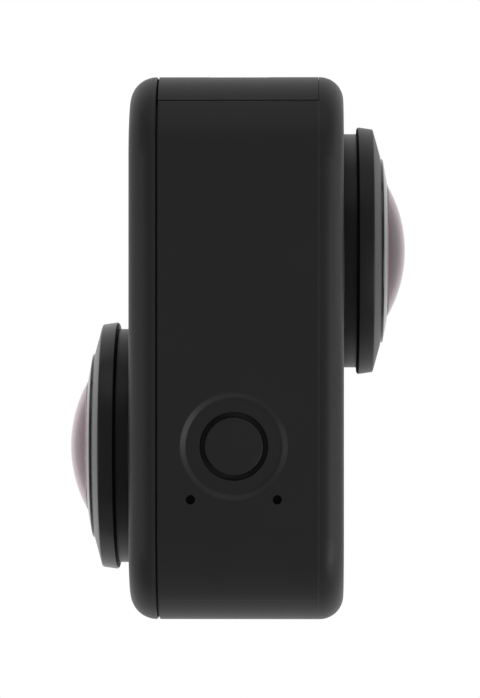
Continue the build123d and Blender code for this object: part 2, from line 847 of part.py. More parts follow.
# Charging port, card and battery, stacked from the lens barrel down to the foot
port_low = lens_z - barrel_radius - port_barrel_gap
port_board_low = port_low - port_board_thickness
port_z = port_low + port_height / 2
socket_high = port_low - port_board_rise
card_low = socket_high - socket_wall - battery_gap - card_thickness
card_window_y = (housing_middle - card_width / 2 - battery_gap, housing_middle + card_width / 2 + battery_gap)
card_window_z = (card_low - battery_gap, card_low + card_thickness + battery_gap)
socket_low = card_window_z[0] - socket_wall
bay_outer_y = (board_rear, display_back - battery_display_gap)
bay_inner_y = (bay_outer_y[0] + bay_wall, bay_outer_y[1] - bay_wall)
bay_outer_z = (bay_low, socket_low)
bay_inner_z = (bay_outer_z[0] + bay_wall, bay_outer_z[1] - bay_wall)
side_recess_low = bay_low - side_recess_foot
side_recess_high = port_z + port_height / 2 + side_recess_head
side_recess_half = bay_inner_y[1] - housing_middle + side_recess_margin
battery_outer_x = side_inner - battery_gap
battery_inner_x = battery_outer_x - battery_length
bay_end_x = battery_inner_x - bay_wall
card_outer_x = side_inner + card_proud
card_inner_x = card_outer_x - card_length


def make_battery():
    cell = block(battery_inner_x, battery_outer_x, bay_inner_y[0] + battery_gap,
                 bay_inner_y[1] - battery_gap, bay_inner_z[0] + battery_gap, bay_inner_z[1] - battery_gap)
    cell = fillet(cell.edges().filter_by(Axis.X), battery_radius)
    bay = block(bay_end_x, side_inner, *bay_outer_y, *bay_outer_z)
    bay -= block(battery_inner_x, side_inner + overrun, *bay_inner_y, *bay_inner_z)
    contacts = Part()
    middle_y = (bay_inner_y[0] + bay_inner_y[1]) / 2
    middle_z = (bay_inner_z[0] + bay_inner_z[1]) / 2
    tab_height = (bay_inner_z[1] - bay_inner_z[0] - 2 * battery_gap) * tab_height_share
    for number in range(contact_count):
        y = middle_y + (number - (contact_count - 1) / 2) * contact_pitch
        contacts += block(bay_end_x - contact_proud, battery_inner_x, y - contact_width / 2,
                          y + contact_width / 2, middle_z - contact_height / 2, middle_z + contact_height / 2)
    bay -= contacts
    tab = block(battery_outer_x, battery_outer_x + tab_thickness, middle_y - tab_width / 2,
                middle_y + tab_width / 2, middle_z - tab_height / 2, middle_z + tab_height / 2)
    tab += block(battery_outer_x, side_recess_floor, middle_y - tab_width / 2, middle_y + tab_width / 2,
                 middle_z - tab_height / 2, middle_z - tab_height / 2 + tab_thickness)
    return {"battery": cell, "battery_bay": bay, "battery_contacts": contacts, "battery_pull_tab": tab}


def make_card():
    card = block(card_inner_x, card_outer_x, housing_middle - card_width / 2,
                 housing_middle + card_width / 2, card_low, card_low + card_thickness)
    slot_end = card_inner_x - card_travel - battery_gap
    socket = block(slot_end - socket_wall, side_inner, card_window_y[0] - socket_wall,
                   card_window_y[1] + socket_wall, socket_low, socket_high)
    socket -= block(slot_end, side_inner + overrun, *card_window_y, *card_window_z)
    return {"memory_card": card, "card_socket": socket}


def port_outline(grow, x_low, x_high):
    sketch = RectangleRounded(port_width + 2 * grow, port_height + 2 * grow, port_corner + grow)
    return extrude(Plane.YZ.offset(x_low) * Pos(housing_middle, port_z) * sketch, amount=x_high - x_low)


def make_port():
    mouth = side_recess_floor
    back = mouth - port_length
    port = port_outline(0, back, mouth)
    port -= port_outline(-port_shell, mouth - port_depth, mouth + overrun)
    tongue = block(mouth - port_depth - fit_gap, mouth - port_depth + port_tongue_length,
                   housing_middle - port_tongue_width / 2, housing_middle + port_tongue_width / 2,
                   port_z - port_tongue / 2, port_z + port_tongue / 2)
    board = block(card_inner_x, side_inner, board_rear, board_rear + board_reach,
                  port_board_low, port_board_low + port_board_thickness)
    return {"usb_port": port + tongue, "port_board": board}


# Boards and the heat path to the front panel
def make_boards():
    spreader_x = half_width - spreader_inset_x
    spreader_rear = front_plate_rear + spreader_thickness
    hole = lens_hole(barrel_radius + barrel_hole_gap, 1, front_face, 0)
    spreader = block(-spreader_x, spreader_x, front_plate_rear, spreader_rear, spreader_low, spreader_high)
    spreader -= lamp(front_plate_rear - overrun, spreader_rear + overrun, -lamp_x, swing_gap)
    shield = block(shield_x - shield_width / 2, shield_x + shield_width / 2, spreader_rear, board_front,
                   shield_z - shield_length / 2, shield_z + shield_length / 2)
    board = block(-half_width + board_inset, side_inner - board_inset / 2, board_front, board_rear,
                  board_low, body_height - board_inset)
    board += block(-board_tab_width / 2, board_tab_width / 2, board_front, board_rear,
                   board_tab_low, board_low)
    notch = screw_x - column_radius - swing_gap
    for side in (-1, 1):
        cut = sorted((side * notch, side * (half_width + overrun)))
        board -= block(*cut, front_face, 0, body_height - screw_inset_z - column_radius - swing_gap,
                       body_height)
    return {"heat_spreader": spreader - hole, "processor_shield": shield, "main_board": board - hole}


# A flat cable folded once: a run from the board, then a turn along the height
def folded_flex(x, y_end, z_run, z_end):
    half = flex_width / 2
    run = block(x - half, x + half, board_rear, y_end, z_run, z_run + flex_thickness)
    leg_low, leg_high = sorted((z_run, z_end))
    return run + block(x - half, x + half, y_end - flex_thickness, y_end, leg_low, leg_high)


def make_flexes():
    edge = lens_z - sensor_board_size / 2
    middle = sensor_board_thickness / 2
    front = folded_flex(lens_offset / 2, barrel_tail + middle, edge - sensor_flex_drop, edge)
    rear = folded_flex(-lens_offset, -barrel_tail - middle, edge - sensor_flex_drop, edge)
    display_low = glass_low + (glass_height - display_height) / 2
    screen = folded_flex(0, display_back, board_tab_low, display_low + flex_width / 2)
    return {"sensor_flexes": front + rear, "display_flex": screen}


def make_small_parts():
    inner = -half_width + wall
    speaker = block(inner, inner + speaker_depth, housing_middle - speaker_width / 2,
                    housing_middle + speaker_width / 2, speaker_z - speaker_height / 2,
                    speaker_z + speaker_height / 2)
    aerial = block(aerial_x - aerial_length / 2, aerial_x + aerial_length / 2,
                   housing_middle - aerial_width / 2, housing_middle + aerial_width / 2,
                   top_inner - aerial_thickness, top_inner)
    lamps = lamp(front_face + lamp_sunk, front_plate_rear, -lamp_x)
    lamps += lamp(rear_plate_front, rear_face - lamp_sunk, lamp_x)
    return {"speaker": speaker, "wireless_aerial": aerial, "status_lamps": lamps}


# Folding fingers, drawn folded flat into their tray
def tray_block(grow):
    half_length = tray_half_length + tray_wall + grow
    half_width_y = tray_half_width + tray_wall + grow
    return block(-half_length, half_length, housing_middle - half_width_y, housing_middle + half_width_y,
                 -grow, tray_ceiling + tray_roof + grow)


def finger_pin(side, grow, y_half):
    return rod_y(finger_pin_radius + grow, side * finger_pin_x, finger_pin_z,
                 housing_middle - y_half, housing_middle + y_half)


def make_finger(side):
    tip = side * (finger_pin_x + finger_reach)
    low, high = finger_sunk, finger_sunk + finger_thickness
    span = sorted((side * finger_pin_x, tip))
    plate = block(*span, housing_middle - finger_radius, housing_middle + finger_radius, low, high)
    plate += rod_z(finger_radius, tip, housing_middle, low, high)
    plate += rod_y(finger_root_radius, side * finger_pin_x, finger_pin_z,
                   housing_middle - finger_radius, housing_middle + finger_radius)
    plate -= rod_z(finger_hole_radius, tip, housing_middle, low - overrun, high + overrun)
    return plate - finger_pin(side, finger_pin_gap, finger_radius + overrun)


def make_mount():
    tray = tray_block(0)
    tray -= block(-tray_half_length, tray_half_length, housing_middle - tray_half_width,
                  housing_middle + tray_half_width, -overrun, tray_ceiling)
    pins = Part()
    for side in (-1, 1):
        tray -= finger_pin(side, finger_pin_gap, tray_half_width + tray_wall + overrun)
        pins += finger_pin(side, 0, tray_half_width + tray_wall)
    return {"finger_tray": tray, "finger_pins": pins,
            "right_finger": make_finger(1), "left_finger": make_finger(-1)}


def make_all():
    pieces = {"main_housing": make_main_housing(), "front_frame": make_front_frame(),
              "front_panel": make_front_panel(), "rear_cover": make_rear_cover(),
              "cover_gasket": make_cover_gasket(), "case_screws": make_case_screws(),
              "microphones": make_microphones(), "side_door": make_side_door(),
              "door_seal": make_door_seal(), "door_latch": make_latch(),
              "latch_spring": make_latch_spring(), "hinge_pin": make_hinge_pin()}
    groups = (make_screen, make_lenses, make_shutter, make_mode_button, make_battery, make_card,
              make_port, make_boards, make_flexes, make_small_parts, make_mount)
    for make_group in groups:
        pieces.update(make_group())
    return pieces


os.makedirs("parts", exist_ok=True)
for name, piece in make_all().items():
    export_step(piece, f"parts/{name}.step")
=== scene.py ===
import bmesh
import bpy
from math import asin, cos, pi, radians, sin
from mathutils import Matrix, Vector


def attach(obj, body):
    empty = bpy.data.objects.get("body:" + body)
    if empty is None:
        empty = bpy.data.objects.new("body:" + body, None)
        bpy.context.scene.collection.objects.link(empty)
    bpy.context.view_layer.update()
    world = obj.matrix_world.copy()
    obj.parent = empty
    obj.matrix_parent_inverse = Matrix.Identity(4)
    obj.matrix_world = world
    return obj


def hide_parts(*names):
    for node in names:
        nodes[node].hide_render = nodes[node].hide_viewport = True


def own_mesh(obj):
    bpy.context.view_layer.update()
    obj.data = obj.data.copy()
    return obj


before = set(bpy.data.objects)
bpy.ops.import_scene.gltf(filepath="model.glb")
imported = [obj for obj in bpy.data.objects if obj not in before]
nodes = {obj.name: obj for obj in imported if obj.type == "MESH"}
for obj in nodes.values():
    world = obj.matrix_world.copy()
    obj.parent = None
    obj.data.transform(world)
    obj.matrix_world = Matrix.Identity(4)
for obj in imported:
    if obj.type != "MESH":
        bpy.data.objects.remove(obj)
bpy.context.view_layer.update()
mm = 0.001  # sizes are in millimetres, and in metres only where a note says so
print("frame loaded")


def startMaterial(name):
    material = bpy.data.materials.new(name)
    material.use_nodes = True
    tree = material.node_tree
    shader = tree.nodes["Principled BSDF"]
    place = tree.nodes.new("ShaderNodeTexCoord")
    return material, tree, shader, place.outputs["Object"]


# one step of sums, each side a socket or a number
def addMath(tree, operation, first, second=0):
    node = tree.nodes.new("ShaderNodeMath")
    node.operation = operation
    for socket, value in zip(node.inputs, (first, second)):
        if isinstance(value, (int, float)):
            socket.default_value = value
        else:
            tree.links.new(value, socket)
    return node.outputs["Value"]


# size is the width of one speck in millimetres
def addNoise(tree, place, size, detail=3.0, stretch=(1, 1, 1)):
    mapping = tree.nodes.new("ShaderNodeMapping")
    mapping.inputs["Scale"].default_value = stretch
    tree.links.new(place, mapping.inputs["Vector"])
    noise = tree.nodes.new("ShaderNodeTexNoise")
    noise.inputs["Scale"].default_value = 1 / (size * mm)
    noise.inputs["Detail"].default_value = detail
    tree.links.new(mapping.outputs["Vector"], noise.inputs["Vector"])
    return noise.outputs["Fac"]


# a noise's middle values spread from low to high
def addRange(tree, value, low, high, fromLow=0.3, fromHigh=0.7):
    node = tree.nodes.new("ShaderNodeMapRange")
    node.inputs["From Min"].default_value = fromLow
    node.inputs["From Max"].default_value = fromHigh
    node.inputs["To Min"].default_value = low
    node.inputs["To Max"].default_value = high
    tree.links.new(value, node.inputs["Value"])
    return node.outputs["Result"]


# the first side is a colour or the socket of one, the second is laid over it where the mask is 1
def addBlend(tree, mask, first, second):
    node = tree.nodes.new("ShaderNodeMix")
    node.data_type = "RGBA"
    if isinstance(first, tuple):
        node.inputs["A"].default_value = (*first, 1)
    else:
        tree.links.new(first, node.inputs["A"])
    node.inputs["B"].default_value = (*second, 1)
    tree.links.new(mask, node.inputs["Factor"])
    return node.outputs["Result"]


def addBump(tree, shader, height, depth, strength, before=None):
    bump = tree.nodes.new("ShaderNodeBump")
    bump.inputs["Strength"].default_value = strength
    bump.inputs["Distance"].default_value = depth * mm
    tree.links.new(height, bump.inputs["Height"])
    if before is not None:
        tree.links.new(before, bump.inputs["Normal"])
    tree.links.new(bump.outputs["Normal"], shader.inputs["Normal"])
    return bump.outputs["Normal"]


# 1 on a hairline across one axis, 0 off it
def addHairline(tree, place, line):
    split = tree.nodes.new("ShaderNodeSeparateXYZ")
    tree.links.new(place, split.inputs["Vector"])
    off = addMath(tree, "SUBTRACT", split.outputs[line["axis"]], line["at"] * mm)
    return addMath(tree, "LESS_THAN", addMath(tree, "ABSOLUTE", off), line["width"] * mm / 2)


# 1 on a circle about an upright axis, fading to 0 on both sides
def addRing(tree, place, ring):
    flat = tree.nodes.new("ShaderNodeVectorMath")
    flat.operation = "MULTIPLY"
    flat.inputs[1].default_value = (1, 1, 0)
    tree.links.new(place, flat.inputs[0])
    reach = tree.nodes.new("ShaderNodeVectorMath")
    reach.operation = "DISTANCE"
    reach.inputs[1].default_value = (ring["x"] * mm, ring["y"] * mm, 0)
    tree.links.new(flat.outputs["Vector"], reach.inputs[0])
    off = addMath(tree, "SUBTRACT", reach.outputs["Value"], ring["radius"] * mm)
    return addRange(tree, addMath(tree, "ABSOLUTE", off), 1, 0, 0, ring["width"] * mm / 2)


# what a finish has when its own entry doesn't say otherwise
plainLook = {
    "patch": 9.0, "patchDetail": 4, "grain": 0.18, "grainDetail": 2.5, "stretch": (1, 1, 1),
    "depth": 0.01, "strength": 0.3, "wave": 0, "waveDepth": 0.006, "waveDetail": 1, "waveStrength": 0.3,
    "metal": 0.0, "gloss": 0.5, "coat": 0.0, "coatRough": 0.05, "ior": 1.47, "hairlines": [], "rings": [],
}


# two close colours in slow patches and fine speckle, with the grain in bump and gloss too
def makeFinish(name, own):
    look = {**plainLook, **own}
    material, tree, shader, place = startMaterial(name)
    patches = addNoise(tree, place, look["patch"], look["patchDetail"])
    grain = addNoise(tree, place, look["grain"], look["grainDetail"], look["stretch"])
    both = addMath(tree, "ADD", addRange(tree, patches, 0, 0.5), addRange(tree, grain, 0, 0.5))
    colour = addBlend(tree, both, look["colour"], look["shade"])
    # thin lines and rings laid over the colour: a mould line, and painted highlights on edges and on the dish
    # rim
    for line in look["hairlines"]:
        colour = addBlend(tree, addHairline(tree, place, line), colour, line["colour"])
    for ring in look["rings"]:
        colour = addBlend(tree, addRing(tree, place, ring), colour, ring["colour"])
    tree.links.new(colour, shader.inputs["Base Color"])
    tree.links.new(addRange(tree, grain, *look["rough"]), shader.inputs["Roughness"])
    normal = addBump(tree, shader, grain, look["depth"], look["strength"])
    if look["wave"]:
        wave = addNoise(tree, place, look["wave"], look["waveDetail"])
        addBump(tree, shader, wave, look["waveDepth"], look["waveStrength"], normal)
    shader.inputs["Metallic"].default_value = look["metal"]
    shader.inputs["Specular IOR Level"].default_value = look["gloss"]
    shader.inputs["Coat Weight"].default_value = look["coat"]
    shader.inputs["Coat Roughness"].default_value = look["coatRough"]
    shader.inputs["IOR"].default_value = look["ior"]
    return material


finishLooks = {
    "soft_touch_black": dict(colour=(0.0158, 0.0158, 0.0162), shade=(0.0184, 0.0184, 0.0189),
                             rough=(0.38, 0.50), grain=0.16, depth=0.014, strength=0.30, wave=2.6, gloss=0.25),
    "latch_grey": dict(colour=(0.050, 0.051, 0.054), shade=(0.060, 0.061, 0.064), rough=(0.42, 0.55),
                       grain=0.14, depth=0.010, strength=0.25),
    "ribbed_rubber": dict(colour=(0.0115, 0.0115, 0.0118), shade=(0.0145, 0.0145, 0.0148), rough=(0.62, 0.78),
                          grain=0.22, depth=0.020, strength=0.45, gloss=0.35),
    "seal_rubber": dict(colour=(0.0080, 0.0080, 0.0083), shade=(0.0105, 0.0105, 0.0108), rough=(0.60, 0.74),
                        grain=0.20, depth=0.012, strength=0.35, gloss=0.3),
    "steel": dict(colour=(0.52, 0.52, 0.53), shade=(0.44, 0.44, 0.46), rough=(0.24, 0.40), metal=1.0,
                  grain=0.10, depth=0.004, strength=0.25, stretch=(1, 1, 6)),
    "lens_black": dict(colour=(0.0064, 0.0064, 0.0067), shade=(0.0078, 0.0078, 0.0081), rough=(0.38, 0.48),
                       grain=0.10, depth=0.004, strength=0.18, gloss=0.30),
    # the neck's black is darker than the ring's: painted shade of the recess between the body and the ring
    "neck_painted_shade_black": dict(colour=(0.0014, 0.0014, 0.0015), shade=(0.0020, 0.0020, 0.0021), rough=(0.36, 0.44),
                       grain=0.10, depth=0.004, strength=0.18, gloss=0.36),
    "gloss_black": dict(colour=(0.0085, 0.0085, 0.0090), shade=(0.0100, 0.0100, 0.0105), rough=(0.14, 0.20),
                        grain=0.10, depth=0.001, strength=0.06, gloss=0.60),
    "gauze_black": dict(colour=(0.0030, 0.0030, 0.0030), shade=(0.0040, 0.0040, 0.0040), rough=(0.60, 0.80),
                        grain=0.07, depth=0.020, strength=0.50, gloss=0.10),
    "barrel_black": dict(colour=(0.0070, 0.0070, 0.0075), shade=(0.0090, 0.0090, 0.0095), rough=(0.50, 0.62),
                         grain=0.12, depth=0.004, strength=0.2, gloss=0.3),
    "part_black": dict(colour=(0.016, 0.016, 0.017), shade=(0.021, 0.021, 0.022), rough=(0.38, 0.52),
                       grain=0.12, depth=0.005, strength=0.25),
    "microphone_metal": dict(colour=(0.60, 0.56, 0.46), shade=(0.50, 0.46, 0.38), rough=(0.30, 0.42),
                             metal=1.0, grain=0.10, depth=0.003),
    "contact_gold": dict(colour=(0.80, 0.56, 0.20), shade=(0.70, 0.47, 0.16), rough=(0.20, 0.32), metal=1.0,
                         grain=0.09, depth=0.003),
    "battery_wrap": dict(colour=(0.030, 0.031, 0.034), shade=(0.038, 0.039, 0.043), rough=(0.34, 0.46),
                         grain=0.30, depth=0.006, strength=0.2, coat=0.15, coatRough=0.2),
    "spreader_metal": dict(colour=(0.74, 0.75, 0.77), shade=(0.66, 0.67, 0.69), rough=(0.30, 0.44), metal=1.0,
                           grain=0.14, depth=0.004, stretch=(8, 1, 1)),
    "finger_metal": dict(colour=(0.036, 0.036, 0.038), shade=(0.044, 0.044, 0.047), rough=(0.36, 0.48),
                         metal=0.6, grain=0.10, depth=0.006, strength=0.3),
    "display_dark": dict(colour=(0.006, 0.007, 0.010), shade=(0.009, 0.010, 0.014), rough=(0.22, 0.30),
                         grain=0.10, depth=0.001),
}

# a line that a mould leaves on the soft touch at the side, painted highlights along the front and rear parting
# edges, and a painted highlight on the rim of the shutter's dish
mouldLineAndHighlights = {
    # front: a painted highlight on the edge where the housing meets the front shell
    "front": dict(axis="Y", at=-9.66, width=0.09, colour=(0.0360, 0.0360, 0.0375)),
    "side": dict(axis="X", at=-29.35, width=0.10, colour=(0.0280, 0.0280, 0.0290)),
    # rear: a painted highlight on the rear cover's edge at its seam
    "rear": dict(axis="Y", at=9.58, width=0.24, colour=(0.0215, 0.0215, 0.0222)),
}
# a painted highlight on the rounded outer edge of the shutter's dish
dishRimHighlight = dict(x=-11.35, y=0.15, radius=5.92, width=0.80, colour=(0.0270, 0.0270, 0.0278))
softTouch = finishLooks["soft_touch_black"]
housingLines = [mouldLineAndHighlights["front"], mouldLineAndHighlights["side"]]
# the housing shows the painted front highlight, the side mould line and the painted highlight on the dish rim
finishLooks["housing_black"] = dict(softTouch, hairlines=housingLines, rings=[dishRimHighlight])
# the rear cover shows the painted highlight along its seam edge
finishLooks["rear_black"] = dict(softTouch, hairlines=[mouldLineAndHighlights["rear"]])
finishLooks["rear_ring_black"] = dict(finishLooks["lens_black"], rough=(0.26, 0.34), gloss=0.36)

boardLook = {"lacquer": (0.012, 0.085, 0.038), "shade": (0.009, 0.065, 0.030),
             "track": (0.030, 0.150, 0.062), "scale": 420, "trackWidth": 0.03, "grain": 0.3,
             "rough": (0.30, 0.44), "depth": 0.01, "strength": 0.3}


# copper tracks under green lacquer
def makeBoardGreen(name):
    look = boardLook
    material, tree, shader, place = startMaterial(name)
    tracks = tree.nodes.new("ShaderNodeTexBrick")
    for socket, key in (("Color1", "lacquer"), ("Color2", "shade"), ("Mortar", "track")):
        tracks.inputs[socket].default_value = (*look[key], 1)
    tracks.inputs["Scale"].default_value = look["scale"]
    tracks.inputs["Mortar Size"].default_value = look["trackWidth"]
    tree.links.new(place, tracks.inputs["Vector"])
    tree.links.new(tracks.outputs["Color"], shader.inputs["Base Color"])
    grain = addNoise(tree, place, look["grain"])
    tree.links.new(addRange(tree, grain, *look["rough"]), shader.inputs["Roughness"])
    addBump(tree, shader, tracks.outputs["Fac"], look["depth"], look["strength"])
    return material


flexLook = {"film": (0.30, 0.11, 0.022), "copper": (0.46, 0.19, 0.045), "scale": 550, "rough": 0.32,
            "depth": 0.01, "strength": 0.25}


# amber film with copper lines along it
def makeFlexAmber(name):
    look = flexLook
    material, tree, shader, place = startMaterial(name)
    lines = tree.nodes.new("ShaderNodeTexWave")
    lines.bands_direction = "X"
    lines.inputs["Scale"].default_value = look["scale"]
    tree.links.new(place, lines.inputs["Vector"])
    colour = addBlend(tree, lines.outputs["Fac"], look["film"], look["copper"])
    tree.links.new(colour, shader.inputs["Base Color"])
    shader.inputs["Roughness"].default_value = look["rough"]
    addBump(tree, shader, lines.outputs["Fac"], look["depth"], look["strength"])
    return material


tabLook = {"low": (0.045, 0.046, 0.050), "high": (0.085, 0.087, 0.094), "scale": 700, "rough": 0.85,
           "sheen": 0.3, "depth": 0.05, "strength": 0.6}


# woven ribbon of the battery's pull tab
def makeTabCloth(name):
    look = tabLook
    material, tree, shader, place = startMaterial(name)
    threads = []
    for direction in ("Y", "Z"):
        wave = tree.nodes.new("ShaderNodeTexWave")
        wave.bands_direction = direction
        wave.inputs["Scale"].default_value = look["scale"]
        tree.links.new(place, wave.inputs["Vector"])
        threads.append(wave.outputs["Fac"])
    weave = addMath(tree, "MULTIPLY", *threads)
    colour = addBlend(tree, weave, look["low"], look["high"])
    tree.links.new(colour, shader.inputs["Base Color"])
    shader.inputs["Roughness"].default_value = look["rough"]
    shader.inputs["Sheen Weight"].default_value = look["sheen"]
    addBump(tree, shader, weave, look["depth"], look["strength"])
    return material


glassLooks = {
    "lens_glass": dict(colour=(0.190, 0.100, 0.124), shade=(0.174, 0.100, 0.132), rough=(0.0, 0.02),
                       clear=1.0, ior=1.50, gloss=0.30, coat=0.0, tint=(0.92, 0.80, 0.86, 1)),
    "screen_glass": dict(colour=(0.010, 0.010, 0.012), shade=(0.013, 0.013, 0.015), rough=(0.03, 0.07),
                         clear=0.10, ior=1.50, gloss=0.50, coat=0.6, tint=(0.95, 0.95, 1.0, 1)),
    "lamp_clear": dict(colour=(0.55, 0.56, 0.58), shade=(0.50, 0.51, 0.54), rough=(0.12, 0.22), clear=0.6,
                       ior=1.49, gloss=0.50, coat=0.2, tint=(1.0, 1.0, 1.0, 1)),
    "sensor_dark": dict(colour=(0.030, 0.020, 0.034), shade=(0.020, 0.026, 0.036), rough=(0.10, 0.18),
                        clear=0.0, ior=1.60, gloss=0.50, coat=0.8, tint=(0.80, 0.90, 0.85, 1)),
}
# the rear dome's glass is painted lighter and pinker than the front one's: painted light from the brighter
# side it faces
glassLooks["rear_lens_glass_painted_light"] = dict(glassLooks["lens_glass"], colour=(0.34, 0.20, 0.24),
                                     shade=(0.31, 0.20, 0.25))
smear = {"size": 5.0, "detail": 3, "coatRough": 0.02}


# coated glass, with a faint warm and violet cast that shifts over the surface
def makeGlass(name, look):
    material, tree, shader, place = startMaterial(name)
    cast = addNoise(tree, place, smear["size"], smear["detail"])
    colour = addBlend(tree, addRange(tree, cast, 0, 1), look["colour"], look["shade"])
    tree.links.new(colour, shader.inputs["Base Color"])
    tree.links.new(addRange(tree, cast, *look["rough"]), shader.inputs["Roughness"])
    shader.inputs["Transmission Weight"].default_value = look["clear"]
    shader.inputs["IOR"].default_value = look["ior"]
    shader.inputs["Specular IOR Level"].default_value = look["gloss"]
    shader.inputs["Coat Weight"].default_value = look["coat"]
    shader.inputs["Coat Roughness"].default_value = smear["coatRough"]
    shader.inputs["Coat Tint"].default_value = look["tint"]
    return material


finishes = {name: makeFinish(name, look) for name, look in finishLooks.items()}
finishes.update({name: makeGlass(name, look) for name, look in glassLooks.items()})
finishes["board_green"] = makeBoardGreen("board_green")
finishes["flex_amber"] = makeFlexAmber("flex_amber")
finishes["pull_tab_cloth"] = makeTabCloth("pull_tab_cloth")

ownFinish = {"main_housing": "housing_black", "rear_cover": "rear_black"}
for name, node in nodes.items():  # every other carried node takes its own slot's finish
    slotName = node.data.materials[0].name.split(".")[0]
    node.data.materials[0] = finishes[ownFinish.get(name, slotName)]
print("materials made")

weld = 0.0005  # points nearer than this become one
roundSteps = 5


# a shape of its own for a piece, riding the body of the solid that it stands for
def finishPiece(name, bm, body, slotName, replaced, sharpAngle=32, finishName=None):
    bmesh.ops.remove_doubles(bm, verts=bm.verts, dist=weld * mm)
    bmesh.ops.delete(bm, geom=[edge for edge in bm.edges if not edge.link_faces], context="EDGES")
    bmesh.ops.recalc_face_normals(bm, faces=bm.faces)
    for face in bm.faces:
        face.smooth = True
    mesh = bpy.data.meshes.new(name)
    bm.to_mesh(mesh)
    bm.free()
    mesh.set_sharp_from_angle(angle=radians(sharpAngle))
    mesh.materials.append(finishes[finishName or slotName])
    piece = bpy.data.objects.new(name, mesh)
    bpy.context.scene.collection.objects.link(piece)
    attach(piece, body)
    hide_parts(*replaced)
    return piece


# a closed outline of (radius, height, rounding) spun about its own axis
def spinOutline(points, steps):
    bm = bmesh.new()
    corners = [bm.verts.new((radius * mm, 0, height * mm)) for radius, height, rounding in points]
    bm.faces.new(corners)
    for corner, (radius, height, rounding) in zip(corners, points):
        if rounding:
            bmesh.ops.bevel(bm, geom=[corner], offset=rounding * mm, offset_type="OFFSET",
                            segments=roundSteps, profile=0.5, affect="VERTICES", material=-1)
    bmesh.ops.delete(bm, geom=list(bm.faces), context="FACES_ONLY")
    bmesh.ops.spin(bm, geom=list(bm.verts) + list(bm.edges), cent=(0, 0, 0), axis=(0, 0, 1), angle=2 * pi,
                   steps=steps, use_merge=True)
    return bm


# points of a swelling cap from its rim to its middle
def capPoints(radius, base, rise, count=16):
    sphere = (radius ** 2 + rise ** 2) / (2 * rise)
    middle = base + rise - sphere
    half = asin(min(1, radius / sphere))
    angles = [half * (count - n) / count for n in range(count + 1)]
    return [(sphere * sin(angle), middle + sphere * cos(angle), 0) for angle in angles]


# both lenses are one shape; heights count from the camera's middle plane along the lens's own axis
lensPlace = {"x": 11.77, "z": 48.77, "steps": 180}


def makeLensPiece(side, name, points, slotName, sharpAngle=32, steps=lensPlace["steps"], finishName=None):
    x, turn = (lensPlace["x"], 90) if side == "front" else (-lensPlace["x"], -90)
    middle = Matrix.Translation((x * mm, 0, lensPlace["z"] * mm))
    solid = f"{side}_{name}"
    bm = spinOutline(points, steps)
    bm.transform(middle @ Matrix.Rotation(radians(turn), 4, "X"))
    finishPiece(f"{solid}_shown", bm, "casing", slotName, [solid], sharpAngle, finishName)


neck = {"bore": 9.95, "face": 12.6, "foot": 14.35, "footTop": 12.75, "footEdge": 0.1, "radius": 14.1,
        "front": 14.3, "edge": 0.08, "grooveOut": 11.93, "grooveIn": 11.07, "grooveFloor": 13.49}


def makeNeck(side):
    n = neck
    outline = [(n["bore"], n["face"], 0), (n["foot"], n["face"], 0),
               (n["foot"], n["footTop"], n["footEdge"]), (n["radius"], n["footTop"], 0),
               (n["radius"], n["front"], n["edge"]), (n["grooveOut"], n["front"], 0),
               (n["grooveOut"], n["grooveFloor"], 0), (n["grooveIn"], n["grooveFloor"], 0),
               (n["grooveIn"], n["front"], 0), (n["bore"], n["front"], 0)]
    # the neck takes the black that is darkened as painted shade
    makeLensPiece(side, "lens_neck", outline, "lens_black", finishName="neck_painted_shade_black")


ring = {"seat": 12.65, "back": 14.3, "backRadius": 14.7, "backEdge": 0.05, "radius": 14.9, "backTop": 14.5,
        "sideEdge": 0.08, "frontRadius": 14.65, "sideTop": 16.25, "frontEdge": 0.16, "coneRadius": 11.4,
        "front": 17.15, "coneEdge": 0.10, "bore": 11.2, "boreEdge": 0.05, "step": 15.3}


def makeRing(side):
    r = ring
    outline = [(r["seat"], r["back"], 0), (r["backRadius"], r["back"], r["backEdge"]),
               (r["radius"], r["backTop"], r["sideEdge"]), (r["frontRadius"], r["sideTop"], r["frontEdge"]),
               (r["coneRadius"], r["front"], r["coneEdge"]), (r["bore"], r["front"], r["boreEdge"]),
               (r["bore"], r["step"], 0), (r["seat"], r["step"], 0)]
    finishName = "rear_ring_black" if side == "rear" else None
    makeLensPiece(side, "lens_ring", outline, "lens_black", finishName=finishName)


bezel = {"seatRadius": 9.9, "back": 15.3, "radius": 11.1, "front": 17.45, "edge": 0.12, "crownRadius": 8.5,
         "crown": 17.94, "crownEdge": 0.10, "bore": 8.25, "boreTop": 17.95, "boreEdge": 0.04, "seat": 16.2}


def makeBezel(side):
    b = bezel
    outline = [(b["seatRadius"], b["back"], 0), (b["radius"], b["back"], 0),
               (b["radius"], b["front"], b["edge"]), (b["crownRadius"], b["crown"], b["crownEdge"]),
               (b["bore"], b["boreTop"], b["boreEdge"]),
               (b["bore"], b["seat"], 0), (b["seatRadius"], b["seat"], 0)]
    makeLensPiece(side, "lens_bezel", outline, "gloss_black")


dome = {"radius": 8.2, "seat": 16.2, "rim": 17.9, "rise": 2.3, "innerRadius": 7.3, "innerRim": 17.09,
        "innerRise": 2.21, "sharp": 60, "steps": 128}


def makeDome(side):
    d = dome
    outer = capPoints(d["radius"], d["rim"], d["rise"])
    inner = capPoints(d["innerRadius"], d["innerRim"], d["innerRise"])
    outline = [(d["radius"], d["seat"], 0)] + outer + inner[::-1] + [(d["innerRadius"], d["seat"], 0)]
    # the rear dome takes the glass that is painted lighter as painted light
    finishName = "rear_lens_glass_painted_light" if side == "rear" else None
    makeLensPiece(side, "lens_dome", outline, "lens_glass", d["sharp"], d["steps"], finishName)


